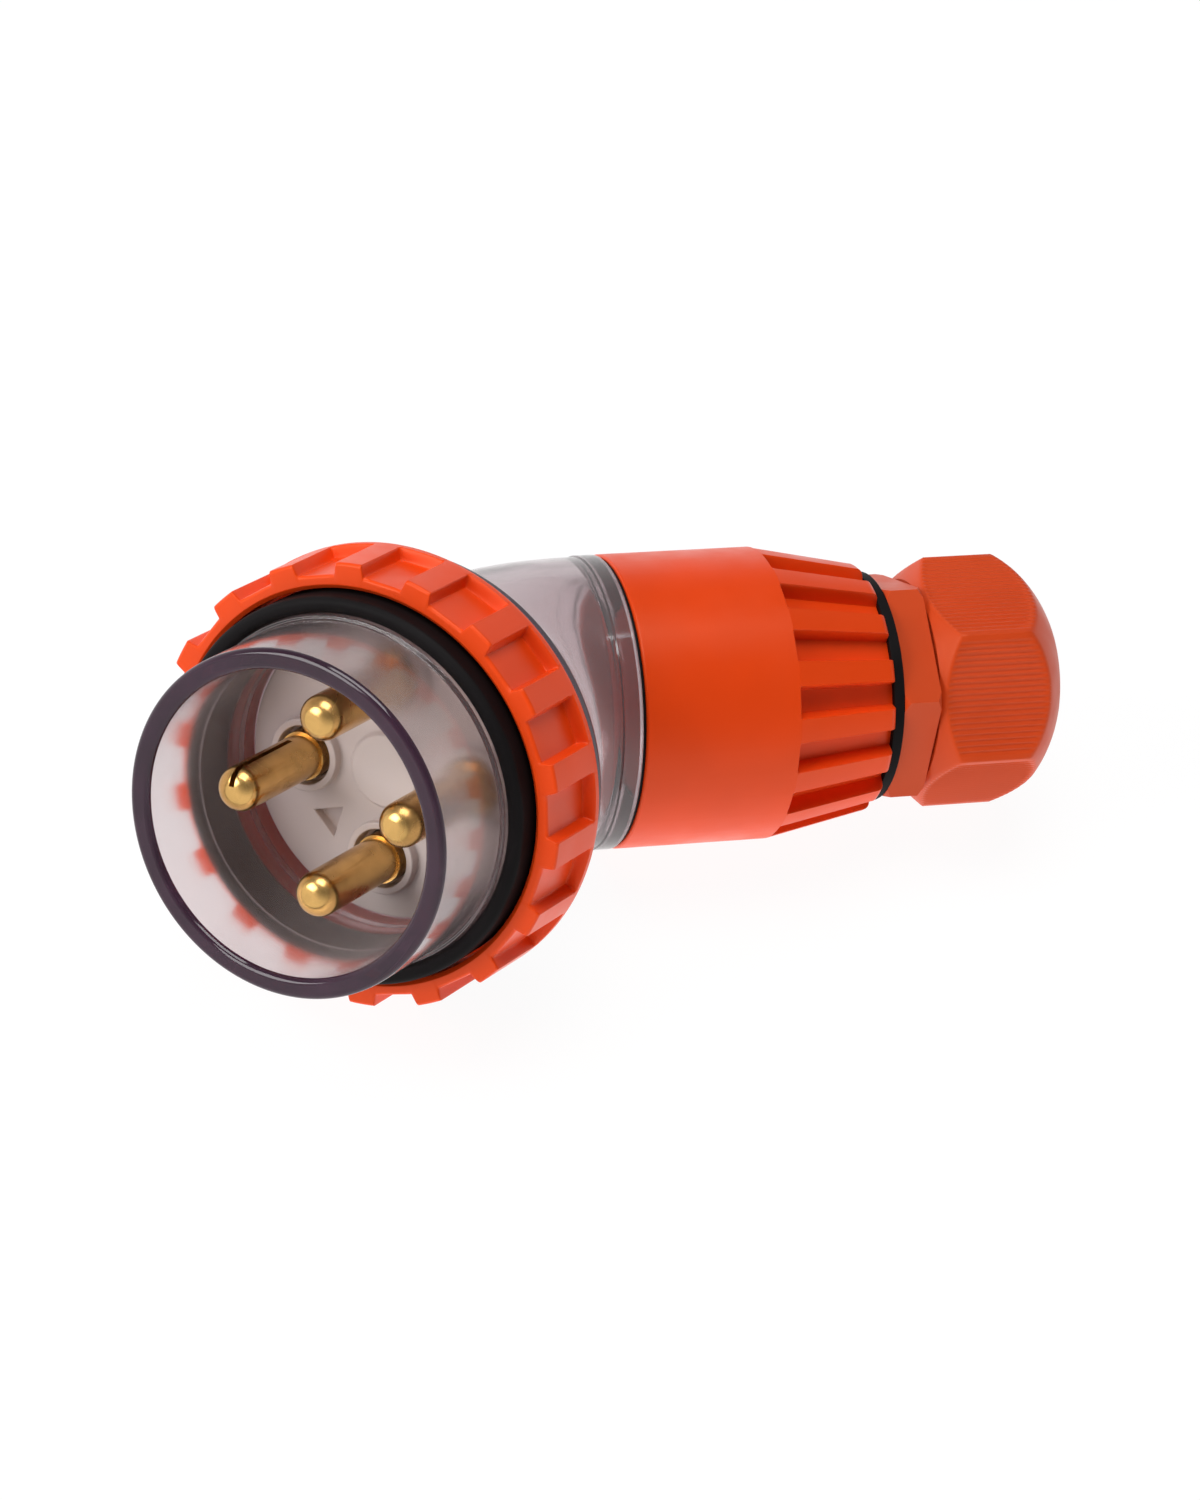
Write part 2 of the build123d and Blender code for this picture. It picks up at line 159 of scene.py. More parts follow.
class PlugSizes(PropertyGroup):
    """Sizes of the moulded detail."""

    slip_gap: length("Slip gap", "Room between fitted round pieces", 0.1 * mm)
    turn_gap: length("Turn gap", "Room between pieces that turn", 0.4 * mm)
    edge_round: length("Edge round", "Round on moulded edges", 0.25 * mm)
    rim_round: length("Rim round", "Round on the rim of the shroud", 0.9 * mm)
    shroud_wall: length("Shroud wall", "Thickness of the shroud's tube", 2.9 * mm)
    shroud_flange: length("Shroud flange", "Thickness of the flange that holds the ring", 4.0 * mm)
    seal_round: length("Seal round", "Round on the front of the face seal", 1.0 * mm)
    carrier_edge: length("Carrier edge", "Round on the carrier's edges", 0.22 * mm)
    pin_edge: length("Pin edge", "Round on the pins' edges", 0.12 * mm)
    screw_edge: length("Screw edge", "Round on the screws' edges", 0.1 * mm)
    rubber_edge: length("Rubber edge", "Round on the edges of gaskets, washer and bush", 0.15 * mm)
    carrier_seat: length("Carrier seat", "Depth of the carrier's flange in the shroud", 3.2 * mm)
    ring_lip: length("Ring lip", "Thickness of the ring's inner lip", 3.1 * mm)
    ring_mouth: length("Ring mouth", "Chamfer at the ring's mouth", 0.6 * mm)
    lug_round: length("Lug round", "Round on the ring's outer edges", 0.5 * mm)
    pocket_count: IntProperty(name="Pockets", description="Pockets round the ring", default=18, min=3)
    pocket_width: length("Pocket width", "Width of a pocket", 6.9 * mm)
    pocket_depth: length("Pocket depth", "Depth of a pocket", 1.8 * mm)
    pocket_length: length("Pocket length", "Length of a pocket from the ring's front", 10.3 * mm)
    pocket_turn: angle("Pocket turn", "First pocket from the tail's side", 3.5)
    pocket_draft: length("Pocket draft", "How far a pocket's walls lean and round", 0.6 * mm)
    elbow_radius: length("Elbow radius", "Radius of the elbow's centre line", 26.0 * mm)
    elbow_wall: length("Elbow wall", "Thickness of the elbow's wall", 2.8 * mm)
    elbow_flange: length("Elbow flange", "Thickness of the flange behind the ring", 4.0 * mm)
    elbow_flare: length("Elbow flare", "How much wider the elbow is at its flange", 2.2 * mm)
    flare_round: length("Flare round", "Round between that flange and the elbow", 0.5 * mm)
    flange_round: length("Flange round", "Round on the flange's edges", 0.8 * mm)
    flange_clear: length("Flange clear", "Front of the flange's edge that stays clear", 1.6 * mm)
    collar_width: length("Collar width", "Width of the elbow's collar at the barrel", 3.0 * mm)
    spigot_length: length("Spigot length", "Spigot of the elbow inside the barrel", 7.4 * mm)
    spigot_wall: length("Spigot wall", "Wall of that spigot", 2.2 * mm)
    gasket_cord: length("Gasket cord", "Depth of the dark cord between elbow and barrel", 0.9 * mm)
    gasket_line: length("Gasket line", "How much of that cord shows between them", 0.5 * mm)
    cord_round: length("Cord round", "Round on that cord", 0.15 * mm)
    barrel_wall: length("Barrel wall", "Wall of the barrel", 2.7 * mm)
    barrel_front: length("Barrel round", "Round on the barrel's front edge", 0.4 * mm)
    barrel_plain: length("Plain length", "Barrel ahead of its grooves", 22.7 * mm)
    barrel_end: length("Tail radius", "Radius at the end of the barrel", 18.1 * mm)
    barrel_end_round: length("Tail round", "Chamfer at the end of the barrel", 1.2 * mm)
    barrel_end_wall: length("End wall", "Thickness of the barrel's end", 5.4 * mm)
    groove_count: IntProperty(name="Grooves", description="Grooves round the barrel", default=16, min=3)
    groove_width: length("Groove width", "Width of a groove", 4.5 * mm)
    groove_depth: length("Groove depth", "Depth of a groove", 2.5 * mm)
    groove_turn: angle("Groove turn", "First groove from the upper side", 75.5)
    groove_draft: length("Groove draft", "How far a groove's walls lean and round", 0.5 * mm)
    gland_edge: length("Gland edge", "Round on the gland body's edges", 0.3 * mm)
    nut_turn: angle("Nut turn", "First flat of the nut from the upper side", 80.5)
    nut_chamfer: length("Nut chamfer", "Length of the nut's front chamfer", 3.0 * mm)
    nut_front: length("Nut front radius", "Radius of the nut's front edge", 15.2 * mm)
    nut_body: length("Nut body", "Length of the nut's flats", 10.4 * mm)
    nut_end: length("Nut end radius", "Radius of the nut's end", 11.0 * mm)
    nut_bulge: length("Dome bulge", "How far the dome stands out of a cone", 0.7 * mm)
    nut_end_wall: length("Nut end wall", "Thickness of the nut's end", 1.6 * mm)
    nut_thread: length("Nut thread", "Depth of the nut's thread", 15.6 * mm)
    nut_bore: length("Nut bore", "Radius of the nut's bore", 14.4 * mm)
    nut_edge: length("Nut edge", "Round between the nut's flats, chamfer and dome", 0.35 * mm)
    rib_count: IntProperty(name="Grip ribs", description="Fine ribs on each flat", default=22, min=1)
    rib_depth: length("Rib depth", "Depth between the nut's ribs", 0.22 * mm)
    rib_margin: length("Rib margin", "Where ribs fade towards the nut's corners", 1.1 * mm)
    rib_fade: length("Rib fade", "Where ribs fade towards chamfer and dome", 0.8 * mm)


class PlugColours(PropertyGroup):
    """Colours of the materials."""

    clear: colour("Clear plastic", "Tint that thick clear plastic takes", "#b0929a")
    haze: colour("Clear haze", "Milky haze of the clear plastic", "#f8f2f3")
    # Painted shade: the dark violet painted on the shroud's rim and the elbow's flange, standing in for how dark
    # the clear wall looks along its length
    edge: colour("Clear edge", "Tint at the rim of the shroud and the elbow's flange", "#381c31")
    orange: colour("Orange plastic", "Ring and barrel", "#e4430f")
    gland: colour("Gland plastic", "Gland body and nut", "#cb4318")
    carrier: colour("Carrier", "Pin carrier", "#d3c6c2")
    brass: colour("Brass", "Pins and terminals", "#d9ad68")
    rubber: colour("Rubber", "Seals, gaskets and bush", "#0c090a")
    steel: colour("Plated steel", "Terminal screws", "#b4b4b0")
    floor: colour("Floor", "Floor and background", "#ffffff")


class PlugStage(PropertyGroup):
    """Camera and light."""

    azimuth: angle("Azimuth", "Camera's turn round the plug", -23.273)
    elevation: angle("Elevation", "Camera's height angle", 43.199)
    roll: angle("Roll", "Camera's turn about its own line of sight", 12.779)
    distance: length("Distance", "Camera to the point it aims at", 707.62 * mm)
    aim: spot("Aim", "Point at the picture's centre", (36.54 * mm, 13.40 * mm, -11.98 * mm))
    lens: FloatProperty(name="Lens", description="Focal length in millimetres", default=120.0, min=10)
    ambient: level("Ambient", "Light from all round", 0.1)
    ceiling: level("Ceiling", "White of the studio overhead", 0.3)
    bounce: level("Bounce", "Glow of the floor on the plug's underside", 1.85)
    floor_white: level("Floor white", "Brightness of the floor where it is seen", 1.03)
    floor_glow: level("Floor glow", "Share of the floor's look that takes no shadow", 0.92)
    key: level("Key light", "Power of the soft light from above", 6.8)
    key_size: length("Key size", "Side of that light", 0.6)
    key_place: spot("Key place", "That light, from the aim", (-0.1, 0.1, 0.95))
    fill: level("Fill light", "Power of the soft light from the left", 4.6)
    fill_size: length("Fill size", "Side of that light", 0.5)
    fill_place: spot("Fill place", "That light, from the aim", (-0.75, -0.1, 0.45))


def add(tree, kind, inputs=None, **settings):
    """A node with its settings, and its inputs set to values or linked from sockets."""
    node = tree.nodes.new(kind)
    for key, value in settings.items():
        setattr(node, key, value)
    for key, value in (inputs or {}).items():
        if isinstance(value, NodeSocket):
            tree.links.new(value, node.inputs[key])
        else:
            node.inputs[key].default_value = value
    return node


def bare_material(name):
    """A material with an empty tree."""
    material = bpy.data.materials.new(name)
    material.use_nodes = True
    material.node_tree.nodes.clear()
    return material


def new_finish(name):
    """A material, its tree and the socket of the object's own coordinates."""
    material = bare_material(name)
    tree = material.node_tree
    return material, tree, add(tree, "ShaderNodeTexCoord").outputs["Object"]


def noise(tree, where, size, detail):
    """Socket of a cloudy pattern with patches of about a given size."""
    inputs = {"Vector": where, "Scale": 1 / size, "Detail": detail}
    return add(tree, "ShaderNodeTexNoise", inputs).outputs["Fac"]


def spread(tree, value, low, high, to_low, to_high):
    """Socket of a value's range from low to high, spread over another range."""
    return add(tree, "ShaderNodeMapRange", {
        "Value": value, "From Min": low, "From Max": high, "To Min": to_low, "To Max": to_high,
    }).outputs["Result"]


def blend(tree, value, low, low_colour, high, high_colour):
    """Socket of a colour that goes from one to another as a value goes from low to high."""
    node = add(tree, "ShaderNodeValToRGB", {"Fac": value})
    stops = node.color_ramp.elements
    stops[0].position = low
    stops[0].color = (*low_colour, 1)
    stops[1].position = high
    stops[1].color = (*high_colour, 1)
    return node.outputs["Color"]


def bumped(tree, height, strength, depth):
    """Socket of the normals of an uneven skin."""
    inputs = {"Height": height, "Strength": strength, "Distance": depth}
    return add(tree, "ShaderNodeBump", inputs).outputs["Normal"]


def toned(base, share):
    """A colour made darker or paler by a share."""
    return [part * share for part in base]


def lit_through(tree, shader):
    """Socket of a clear shader that lets light reach what is behind it."""
    passed = 0.95
    path = add(tree, "ShaderNodeLightPath").outputs
    open_way = add(tree, "ShaderNodeBsdfTransparent", {"Color": (passed, passed, passed, 1)}).outputs["BSDF"]
    surface = shader.outputs["BSDF"]
    for ray in ("Is Diffuse Ray", "Is Shadow Ray"):
        mixed = add(tree, "ShaderNodeMixShader", {0: path[ray], 1: surface, 2: open_way})
        surface = mixed.outputs["Shader"]
    return surface


def clear_polycarbonate(name, colours, frost, haze, density, wave_depth):
    # Injection-moulded polycarbonate: clear with a slight milky haze, a skin that is frosted by handling,
    # a violet-grey tint that gathers in thick walls, and a waviness from the mould
    material, tree, where = new_finish(name)
    wave = noise(tree, where, 9 * mm, 1.0)
    rub = noise(tree, where, 3 * mm, 3.0)
    shader = add(tree, "ShaderNodeBsdfPrincipled", {
        "Base Color": (*colours.haze, 1), "Transmission Weight": 1 - haze, "IOR": 1.585,
        "Roughness": spread(tree, rub, 0.3, 0.7, 0.8 * frost, 1.2 * frost),
        "Normal": bumped(tree, wave, 1.0, wave_depth),
    })
    tint = add(tree, "ShaderNodeVolumeAbsorption", {"Color": (*colours.clear, 1), "Density": density})
    add(tree, "ShaderNodeOutputMaterial", {
        "Surface": lit_through(tree, shader), "Volume": tint.outputs["Volume"],
    })
    return material


def polycarbonate_painted_shade(colours):
    # The same polycarbonate at the shroud's rim and the elbow's flange, with painted shade: a dark violet colour
    # stands in for the tint of the whole depth and the dark surroundings that the wall shows when looked at along
    # it, under a polished skin
    material, tree, where = new_finish("polycarbonate_painted_shade")
    # Random patches of deeper and lighter painted shade
    depth = noise(tree, where, 7 * mm, 3.0)
    shader = add(tree, "ShaderNodeBsdfPrincipled", {
        "Base Color": blend(tree, depth, 0.35, toned(colours.edge, 0.7), 0.65, colours.edge),
        "Transmission Weight": 0.3, "IOR": 1.585, "Roughness": 0.08, "Specular IOR Level": 0.3,
    })
    add(tree, "ShaderNodeOutputMaterial", {"Surface": lit_through(tree, shader)})
    return material


def moulded_plastic(name, base, rough, grain, sheen):
    # Opaque moulded thermoplastic: one even colour with slow shading from the melt's flow, a satin skin
    # with the mould's spark-eroded grain, and small rubbed patches that shine more
    material, tree, where = new_finish(name)
    flow = noise(tree, where, 14 * mm, 2.0)
    rub = noise(tree, where, 5 * mm, 4.0)
    erosion = noise(tree, where, grain, 2.0)
    tone = add(tree, "ShaderNodeHueSaturation", {
        "Color": (*base, 1), "Value": spread(tree, flow, 0.3, 0.7, 0.95, 1.04),
    })
    shader = add(tree, "ShaderNodeBsdfPrincipled", {
        "Base Color": tone.outputs["Color"], "IOR": 1.53, "Specular IOR Level": 0.35,
        "Roughness": spread(tree, rub, 0.35, 0.7, rough - 0.05, rough + 0.07),
        "Specular Tint": (*sheen, 1), "Normal": bumped(tree, erosion, 0.12, 0.05 * mm),
    })
    add(tree, "ShaderNodeOutputMaterial", {"Surface": shader.outputs["BSDF"]})
    return material


def turned_brass(colours):
    # Turned brass: warm metal with fine rings left by the tool across the pin, and slight tarnish in patches
    material, tree, where = new_finish("turned_brass")
    ring_spacing = 0.35 * mm
    along = add(tree, "ShaderNodeMapping", {
        "Vector": where, "Rotation": head.to_3x3().inverted().to_euler("XYZ"),
    })
    rings = add(tree, "ShaderNodeTexWave", {
        "Vector": along.outputs["Vector"], "Scale": pi / 10 / ring_spacing, "Distortion": 0.4,
        "Detail": 1.0, "Detail Scale": 2.0,
    }, bands_direction="Z")
    tarnish = noise(tree, where, 4 * mm, 4.0)
    shader = add(tree, "ShaderNodeBsdfPrincipled", {
        "Base Color": blend(tree, tarnish, 0.32, toned(colours.brass, 0.8), 0.6, colours.brass),
        "Metallic": 1.0, "Roughness": spread(tree, tarnish, 0.3, 0.7, 0.3, 0.2),
        "Normal": bumped(tree, rings.outputs["Fac"], 0.1, 0.02 * mm),
    })
    add(tree, "ShaderNodeOutputMaterial", {"Surface": shader.outputs["BSDF"]})
    return material


def plated_steel(colours):
    # Zinc-plated steel: cool grey metal with a soft, slightly mottled sheen
    material, tree, where = new_finish("plated_steel")
    mottle = noise(tree, where, 0.8 * mm, 3.0)
    shader = add(tree, "ShaderNodeBsdfPrincipled", {
        "Base Color": (*colours.steel, 1), "Metallic": 1.0,
        "Roughness": spread(tree, mottle, 0.3, 0.7, 0.28, 0.45),
    })
    add(tree, "ShaderNodeOutputMaterial", {"Surface": shader.outputs["BSDF"]})
    return material


def moulded_rubber(colours):
    # Moulded rubber: near-black, dull, with a fine grain and a dusty bloom in places
    material, tree, where = new_finish("moulded_rubber")
    bloom = noise(tree, where, 6 * mm, 4.0)
    grain = noise(tree, where, 0.25 * mm, 2.0)
    shader = add(tree, "ShaderNodeBsdfPrincipled", {
        "Base Color": blend(tree, bloom, 0.4, colours.rubber, 0.8, toned(colours.rubber, 1.5)),
        "Roughness": 0.6, "IOR": 1.52, "Specular IOR Level": 0.1,
        "Normal": bumped(tree, grain, 0.25, 0.05 * mm),
    })
    add(tree, "ShaderNodeOutputMaterial", {"Surface": shader.outputs["BSDF"]})
    return material


materials = {}


def make_materials(colours):
    """All the finishes: by the record's slot names, one more clear plastic for the shroud, and a clear plastic
    with painted dark shade for its rim and the elbow's flange.
    """
    warm = (1.0, 0.6, 0.4)
    plain = (1.0, 1.0, 1.0)
    materials["clear_plastic"] = clear_polycarbonate(
        "clear_polycarbonate", colours, frost=0.09, haze=0.06, density=150.0, wave_depth=0.2 * mm
    )
    materials["clear_shroud"] = clear_polycarbonate(
        "handled_polycarbonate", colours, frost=0.15, haze=0.03, density=85.0, wave_depth=0.024 * mm
    )
    # Clear plastic with painted dark violet shade, for the shroud's rim and the elbow's flange
    materials["clear_edge"] = polycarbonate_painted_shade(colours)
    materials["orange_plastic"] = moulded_plastic(
        "moulded_abs_orange", colours.orange, rough=0.34, grain=0.3 * mm, sheen=warm
    )
    materials["gland_plastic"] = moulded_plastic(
        "moulded_nylon_gland", colours.gland, rough=0.42, grain=0.25 * mm, sheen=warm
    )
    materials["carrier_plastic"] = moulded_plastic(
        "moulded_thermoset_carrier", colours.carrier, rough=0.4, grain=0.3 * mm, sheen=plain
    )
    materials["brass"] = turned_brass(colours)
    materials["steel"] = plated_steel(colours)
    materials["rubber"] = moulded_rubber(colours)


def ease(value):
    """Smooth step from 0 to 1."""
    value = min(max(value, 0.0), 1.0)
    return value * value * (3 - 2 * value)


def rounded(corners, steps=5):
    """Closed section whose corners (station, radius, round) are rounded."""
    points = []
    for i, (station, radius, bend) in enumerate(corners):
        here = Vector((station, radius))
        if not bend:
            points.append(here)
            continue
        back = (Vector(corners[i - 1][:2]) - here).normalized()
        ahead = (Vector(corners[(i + 1) % len(corners)][:2]) - here).normalized()
        half = back.angle(ahead) / 2
        centre = here + (back + ahead).normalized() * (bend / sin(half))
        start = here + back * (bend / tan(half)) - centre
        end = here + ahead * (bend / tan(half)) - centre
        first = atan2(start.y, start.x)
        sweep = (atan2(end.y, end.x) - first + pi) % (2 * pi) - pi
        for step in range(steps + 1):
            turn = first + sweep * step / steps
            points.append(centre + Vector((cos(turn), sin(turn))) * bend)
    return points


def skin(slices, full):
    """Quads between closed sections; a full round joins the last to the first."""
    count = len(slices[0])
    faces = []
    for i in range(len(slices) if full else len(slices) - 1):
        j = (i + 1) % len(slices)
        for k in range(count):
            m = (k + 1) % count
            faces.append((i * count + k, j * count + k, j * count + m, i * count + m))
    return [point for points in slices for point in points], faces


def new_object(name, vertices, faces):
    """An object from points and faces, linked to the scene."""
    mesh = bpy.data.meshes.new(name)
    mesh.from_pydata(vertices, [], faces)
    piece = bpy.data.objects.new(name, mesh)
    bpy.context.scene.collection.objects.link(piece)
    return piece


def finish_piece(piece, place, body, slot, *nodes):
    """Set a closed piece in its place, smooth it, put it on the body it rides on, and hide the solids it stands
    for.
    """
    mesh = piece.data
    if place:
        mesh.transform(place)
    work = bmesh.new()
    work.from_mesh(mesh)
    bmesh.ops.recalc_face_normals(work, faces=work.faces)
    work.to_mesh(mesh)
    work.free()
    mesh.shade_smooth()
    mesh.set_sharp_from_angle(angle=crease_angle)
    mesh.materials.clear()
    mesh.materials.append(materials[slot])
    even = piece.modifiers.new("even shading", "WEIGHTED_NORMAL")
    even.keep_sharp = True
    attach(piece, body)
    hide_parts(*nodes)


def turned(name, section, columns=192):
    """A full round of one section (station, radius), along local z."""
    slices = []
    for column in range(columns):
        turn = 2 * pi * column / columns
        slices.append([Vector((r * cos(turn), r * sin(turn), z)) for z, r in section])
    return new_object(name, *skin(slices, True))


def softened(node, slot, width, steps=2):
    """A copy of a solid of the plug's body, its hard edges rounded as a mould or tool leaves them."""
    piece = bpy.data.objects.new(f"{node}_finished", frame["nodes"][node].data.copy())
    bpy.context.scene.collection.objects.link(piece)
    work = bmesh.new()
    work.from_mesh(piece.data)
    bmesh.ops.remove_doubles(work, verts=work.verts, dist=weld)
    bmesh.ops.dissolve_limit(work, angle_limit=flat_angle, verts=work.verts, edges=work.edges)
    hard = [edge for edge in work.edges if edge.is_manifold and edge.calc_face_angle() > hard_angle]
    bmesh.ops.bevel(
        work, geom=hard, offset=width, offset_type="OFFSET", segments=steps, profile=0.5,
        affect="EDGES", clamp_overlap=True,
    )
    work.to_mesh(piece.data)
    work.free()
    finish_piece(piece, None, "plug_body", slot, node)


def repeat_tree():
    """Geometry Nodes that repeat a sector round local z and join the copies."""
    tree = bpy.data.node_groups.new("Repeat round the axis", "GeometryNodeTree")
    face = tree.interface
    face.new_socket("Sector", in_out="INPUT", socket_type="NodeSocketGeometry")
    face.new_socket("Count", in_out="INPUT", socket_type="NodeSocketInt")
    face.new_socket("First angle", in_out="INPUT", socket_type="NodeSocketFloat")
    face.new_socket("Join distance", in_out="INPUT", socket_type="NodeSocketFloat")
    face.new_socket("Finish", in_out="INPUT", socket_type="NodeSocketMaterial")
    face.new_socket("Piece", in_out="OUTPUT", socket_type="NodeSocketGeometry")
    given = add(tree, "NodeGroupInput").outputs
    points = add(tree, "GeometryNodePoints", {"Count": given["Count"]})
    index = add(tree, "GeometryNodeInputIndex")
    step = add(tree, "ShaderNodeMath", {0: 2 * pi, 1: given["Count"]}, operation="DIVIDE")
    turn = add(tree, "ShaderNodeMath", {
        0: index.outputs["Index"], 1: step.outputs["Value"], 2: given["First angle"],
    }, operation="MULTIPLY_ADD")
    rotation = add(tree, "FunctionNodeAxisAngleToRotation", {
        "Axis": (0, 0, 1), "Angle": turn.outputs["Value"],
    })
    copies = add(tree, "GeometryNodeInstanceOnPoints", {
        "Points": points.outputs["Points"], "Instance": given["Sector"],
        "Rotation": rotation.outputs["Rotation"],
    })
    real = add(tree, "GeometryNodeRealizeInstances", {"Geometry": copies.outputs["Instances"]})
    joined = add(tree, "GeometryNodeMergeByDistance", {
        "Geometry": real.outputs["Geometry"], "Distance": given["Join distance"],
    })
    painted = add(tree, "GeometryNodeSetMaterial", {
        "Geometry": joined.outputs["Geometry"], "Material": given["Finish"],
    })
    add(tree, "NodeGroupOutput", {"Piece": painted.outputs["Geometry"]})
    return tree


def repeated(name, slices, count, first_angle, slot):
    """A piece made of one sector, repeated round local z."""
    piece = new_object(name, *skin(slices, False))
    tree = bpy.data.node_groups.get("Repeat round the axis") or repeat_tree()
    modifier = piece.modifiers.new("repeat", "NODES")
    modifier.node_group = tree
    values = {
        "Count": count, "First angle": first_angle, "Join distance": weld, "Finish": materials[slot],
    }
    for socket in tree.interface.items_tree:
        if socket.in_out == "INPUT" and socket.name in values:
            modifier[socket.identifier] = values[socket.name]
    graph = bpy.context.evaluated_depsgraph_get()
    mesh = bpy.data.meshes.new_from_object(piece.evaluated_get(graph))
    piece.modifiers.clear()
    piece.data = mesh
    return piece


def channel_angles(half_sector, half_floor, half_top):
    """Angles across one channel, close together where its walls rise."""
    floor_steps = 3
    land_steps = 4
    half = [half_floor * i / floor_steps for i in range(floor_steps)]
    half += [half_floor + (half_top - half_floor) * i / wall_steps for i in range(wall_steps + 1)]
    half += [half_top + (half_sector - half_top) * (i + 1) / land_steps for i in range(land_steps)]
    return [-turn for turn in reversed(half[1:])] + half


def around(turn, station, radius):
    """A point in a piece's own frame."""
    return Vector((radius * cos(turn), radius * sin(turn), station))


class PLUG_OT_shroud(Operator):
    """Build the clear shroud round the pins"""

    bl_idname = "plug.shroud"
    bl_label = "Clear shroud"

    def execute(self, context):
        sizes = context.scene.plug_sizes
        edge = sizes.edge_round
        tube = shroud.inner + sizes.shroud_wall
        foot = seal.inner - sizes.slip_gap
        flange_back = seal.back - sizes.shroud_flange
        seat = carrier.outer + sizes.slip_gap
        seat_front = shroud.back + sizes.carrier_seat
        section = rounded([
            (shroud.front, shroud.inner, sizes.rim_round),
            (shroud.front, tube, sizes.rim_round),
            (seal.front, tube, edge),
            (seal.front, foot, edge),
            (seal.back, foot, edge),
            (seal.back, shroud.outer, edge),
            (flange_back, shroud.outer, edge),
            (flange_back, gasket.outer, edge),
            (shroud.back, gasket.outer, edge),
            (shroud.back, seat, edge),
            (seat_front, seat, edge),
            (seat_front, shroud.inner, edge),
        ])
        piece = turned("clear_shroud", section)
        # Faces of the rim get the painted dark violet shade
        rim = shroud.front - sizes.rim_round
        rim_shade_mask = [min(piece.data.vertices[i].co.z for i in face.vertices) > rim - touch
                  for face in piece.data.polygons]
        finish_piece(piece, head, "plug_body", "clear_plastic", "pin_shroud")
        piece.data.materials[0] = materials["clear_shroud"]
        piece.data.materials.append(materials["clear_edge"])
        piece.data.polygons.foreach_set("material_index", rim_shade_mask)
        return {"FINISHED"}


class PLUG_OT_contacts(Operator):
    """Build the pins, their carrier and the terminal screws"""

    bl_idname = "plug.contacts"
    bl_label = "Pins and carrier"

    def execute(self, context):
        sizes = context.scene.plug_sizes
        softened("pin_carrier", "carrier_plastic", sizes.carrier_edge, steps=3)
        for name in ("earth", "phase_1", "phase_2", "phase_3"):
            softened(f"pin_{name}", "brass", sizes.pin_edge)
            softened(f"terminal_screw_{name}", "steel", sizes.screw_edge)
        return {"FINISHED"}


class PLUG_OT_seals(Operator):
    """Build the seals, gaskets, washer and bush"""

    bl_idname = "plug.seals"
    bl_label = "Rubber seals"

    def execute(self, context):
        sizes = context.scene.plug_sizes
        section = rounded([
            (seal.back, seal.inner, sizes.edge_round),
            (seal.front, seal.inner, sizes.seal_round),
            (seal.front, seal.outer, sizes.seal_round),
            (seal.back, seal.outer, sizes.edge_round),
        ], steps=7)
        finish_piece(turned("front_seal", section), head, "plug_body", "rubber", "face_seal")
        cord = sizes.gasket_cord
        cord_back = joint_gasket.front - sizes.gasket_line
        section = rounded([
            (cord_back, joint_gasket.outer - cord, sizes.cord_round),
            (joint_gasket.front, joint_gasket.outer - cord, sizes.cord_round),
            (joint_gasket.front, joint_gasket.outer, sizes.cord_round),
            (cord_back, joint_gasket.outer, sizes.cord_round),
        ])
        finish_piece(turned("joint_cord", section), tail, "plug_body", "rubber", "barrel_gasket")
        for node in ("housing_gasket", "gland_washer", "gland_bush"):
            softened(node, "rubber", sizes.rubber_edge)
        return {"FINISHED"}


class PLUG_OT_ring(Operator):
    """Build the locking ring from one pocket and half of the lug at each side"""

    bl_idname = "plug.ring"
    bl_label = "Locking ring"

    def execute(self, context):
        sizes = context.scene.plug_sizes
        lug = sizes.lug_round
        lip_front = ring.back + sizes.ring_lip
        bore = shroud.outer + sizes.turn_gap
        mouth = bore + sizes.ring_mouth
        pocket_floor = ring.outer - sizes.pocket_depth
        pocket_end = ring.front - sizes.pocket_length
        half_floor = (sizes.pocket_width / 2 - draft_in * sizes.pocket_draft) / ring.outer
        half_top = (sizes.pocket_width / 2 + draft_out * sizes.pocket_draft) / ring.outer
        flat_floor_end = pocket_end + 3 * sizes.pocket_draft

        # Section points are station, radius and the share of the pocket's depth that they take
        inner = rounded([
            (ring.back, ring.inner, sizes.edge_round),
            (lip_front, ring.inner, 0),
            (lip_front, bore, 0),
            (ring.front - sizes.ring_mouth, bore, sizes.edge_round),
            (ring.front, mouth, sizes.edge_round),
            (ring.front, ring.outer, 0),
            (ring.back, ring.outer, 0),
        ])[:-2]
        section = [(point.x, point.y, 0.0) for point in inner]
        arc = [pi / 2 * step / arc_steps for step in range(arc_steps + 1)]
        for turn in arc:
            section.append((ring.front - lug * (1 - cos(turn)), ring.outer - lug * (1 - sin(turn)), 1.0))
        section.append((flat_floor_end, ring.outer, 1.0))
        for step in range(wall_steps + 1):
            share = step / wall_steps
            station = pocket_end + sizes.pocket_draft * (draft_in - share)
            section.append((station, ring.outer, 1 - ease(share)))
        for turn in arc:
            section.append((ring.back + lug * (1 - sin(turn)), ring.outer - lug * (1 - cos(turn)), 0.0))

        slices = []
        for turn in channel_angles(pi / sizes.pocket_count, half_floor, half_top):
            depth = 1 - ease((abs(turn) - half_floor) / (half_top - half_floor))
            drop = depth * (ring.outer - pocket_floor / cos(turn))
            slices.append([around(turn, z, r - share * drop) for z, r, share in section])
        piece = repeated("pocketed_ring", slices, sizes.pocket_count, sizes.pocket_turn, "orange_plastic")
        finish_piece(piece, head, "locking_ring", "orange_plastic", "locking_ring")
        return {"FINISHED"}


